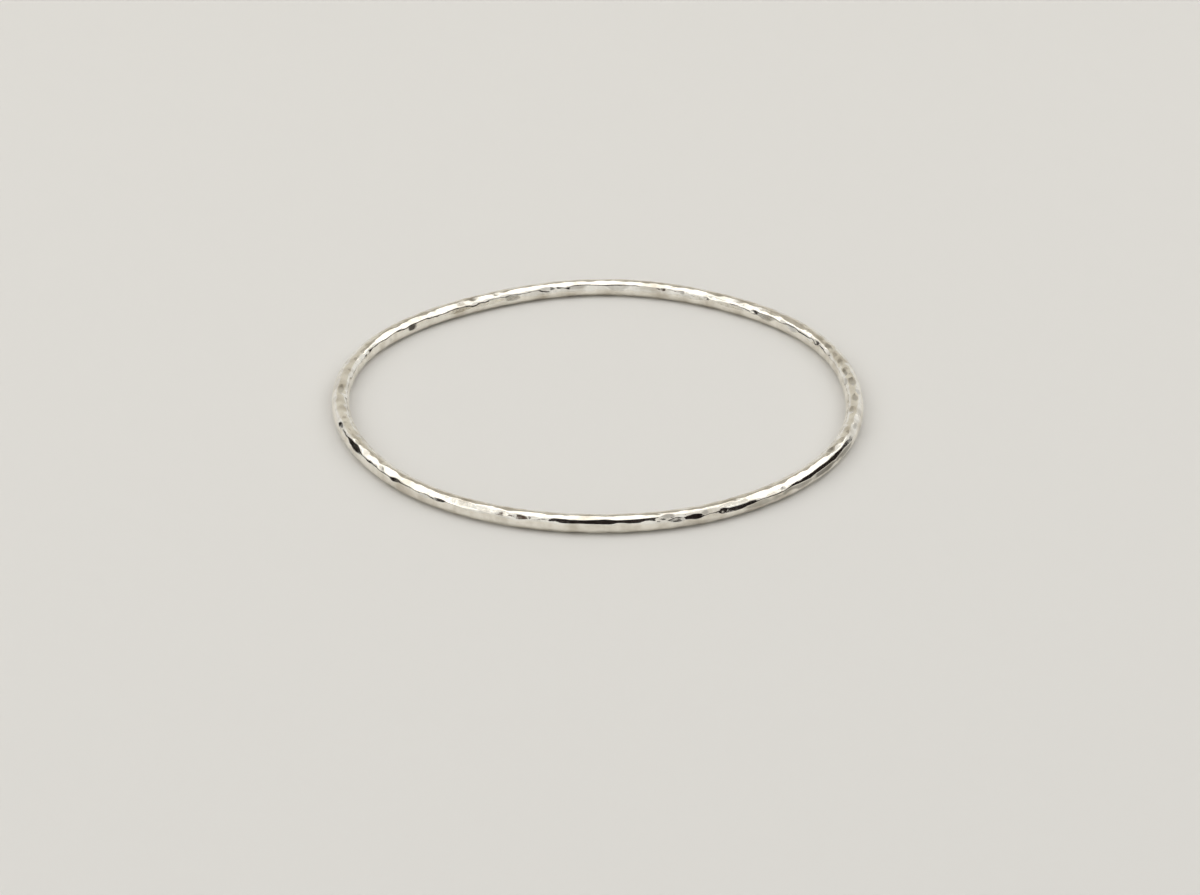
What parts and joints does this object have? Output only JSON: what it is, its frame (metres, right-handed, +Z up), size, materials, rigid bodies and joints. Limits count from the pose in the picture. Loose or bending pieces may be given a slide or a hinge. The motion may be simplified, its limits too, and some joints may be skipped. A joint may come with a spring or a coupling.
{
  "type": "hammered wire bangle",
  "caption": "Closed round bangle of solid round silver wire, hammered all over, slipped over the hand onto the wrist.",
  "frame": {"origin": "centre of the ring in plan, at the height of the flats that it rests on", "axes": "+Z up through the hole, square to the ring; -Y to the front; +X to the right"},
  "size_m": [0.0696, 0.0698, 0.0023],
  "materials": {
    "silver": "sterling silver, hammered all over and polished bright"
  },
  "bodies": {
    "root": {"bangle": "silver"}
  },
  "joints": []
}
